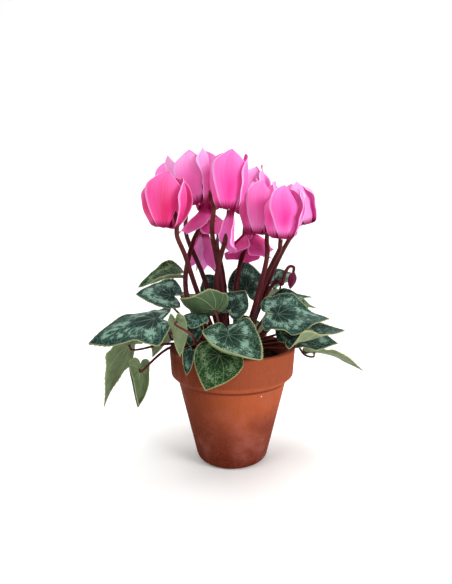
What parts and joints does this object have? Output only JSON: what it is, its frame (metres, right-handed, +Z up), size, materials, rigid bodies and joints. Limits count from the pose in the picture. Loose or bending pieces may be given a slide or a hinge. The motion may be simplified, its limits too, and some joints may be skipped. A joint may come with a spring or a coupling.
{
  "type": "potted cyclamen",
  "caption": "Flowering cyclamen with marbled heart-shaped leaves and upswept petals, growing in a banded clay pot with soil.",
  "frame": {"origin": "centre of the pot's underside, on the ground plane", "axes": "+Z up along the pot's axis, -Y towards the viewer of the picture, +X to the right"},
  "size_m": [0.2829, 0.1744, 0.3171],
  "materials": {
    "clay": "matte",
    "soil": "matte",
    "stalk": "satin",
    "leaf": "satin",
    "petal": "matte",
    "bud": "matte"
  },
  "bodies": {
    "root": {"pot": "clay", "soil": "soil", "tuber_and_stalks": "stalk", "leaf_left_long": "leaf", "leaf_left_hanging": "leaf", "leaf_left_folded": "leaf", "leaf_upper_left": "leaf", "leaf_left_silver": "leaf", "leaf_left_drooping": "leaf", "leaf_centre_dome": "leaf", "leaf_small_left": "leaf", "leaf_small_centre": "leaf", "leaf_behind_stalks": "leaf", "leaf_back_dark": "leaf", "leaf_right_upper": "leaf", "leaf_right_pointed": "leaf", "leaf_right_behind": "leaf", "leaf_right_silver": "leaf", "leaf_right_trough": "leaf", "leaf_right_lower": "leaf", "leaf_far_right": "leaf", "leaf_front_heart": "leaf", "leaf_front_low": "leaf", "leaf_rim_small": "leaf", "leaf_left_pale": "leaf", "leaf_centre_low": "leaf", "leaf_centre_shade": "leaf", "leaf_back_left_high": "leaf", "leaf_back_left_low": "leaf", "leaf_back_centre": "leaf", "leaf_back_right_high": "leaf", "leaf_back_right_low": "leaf", "leaf_back_low": "leaf", "bloom_left": "petal", "bloom_top": "petal", "bloom_centre": "petal", "bloom_right_centre": "petal", "bloom_right": "petal", "bloom_far_right": "petal", "bloom_behind_right": "petal", "bloom_behind_left": "petal", "bloom_under_top": "petal", "bloom_hanging_right": "petal", "bloom_hanging_back": "petal", "bud_right": "bud"}
  },
  "joints": []
}
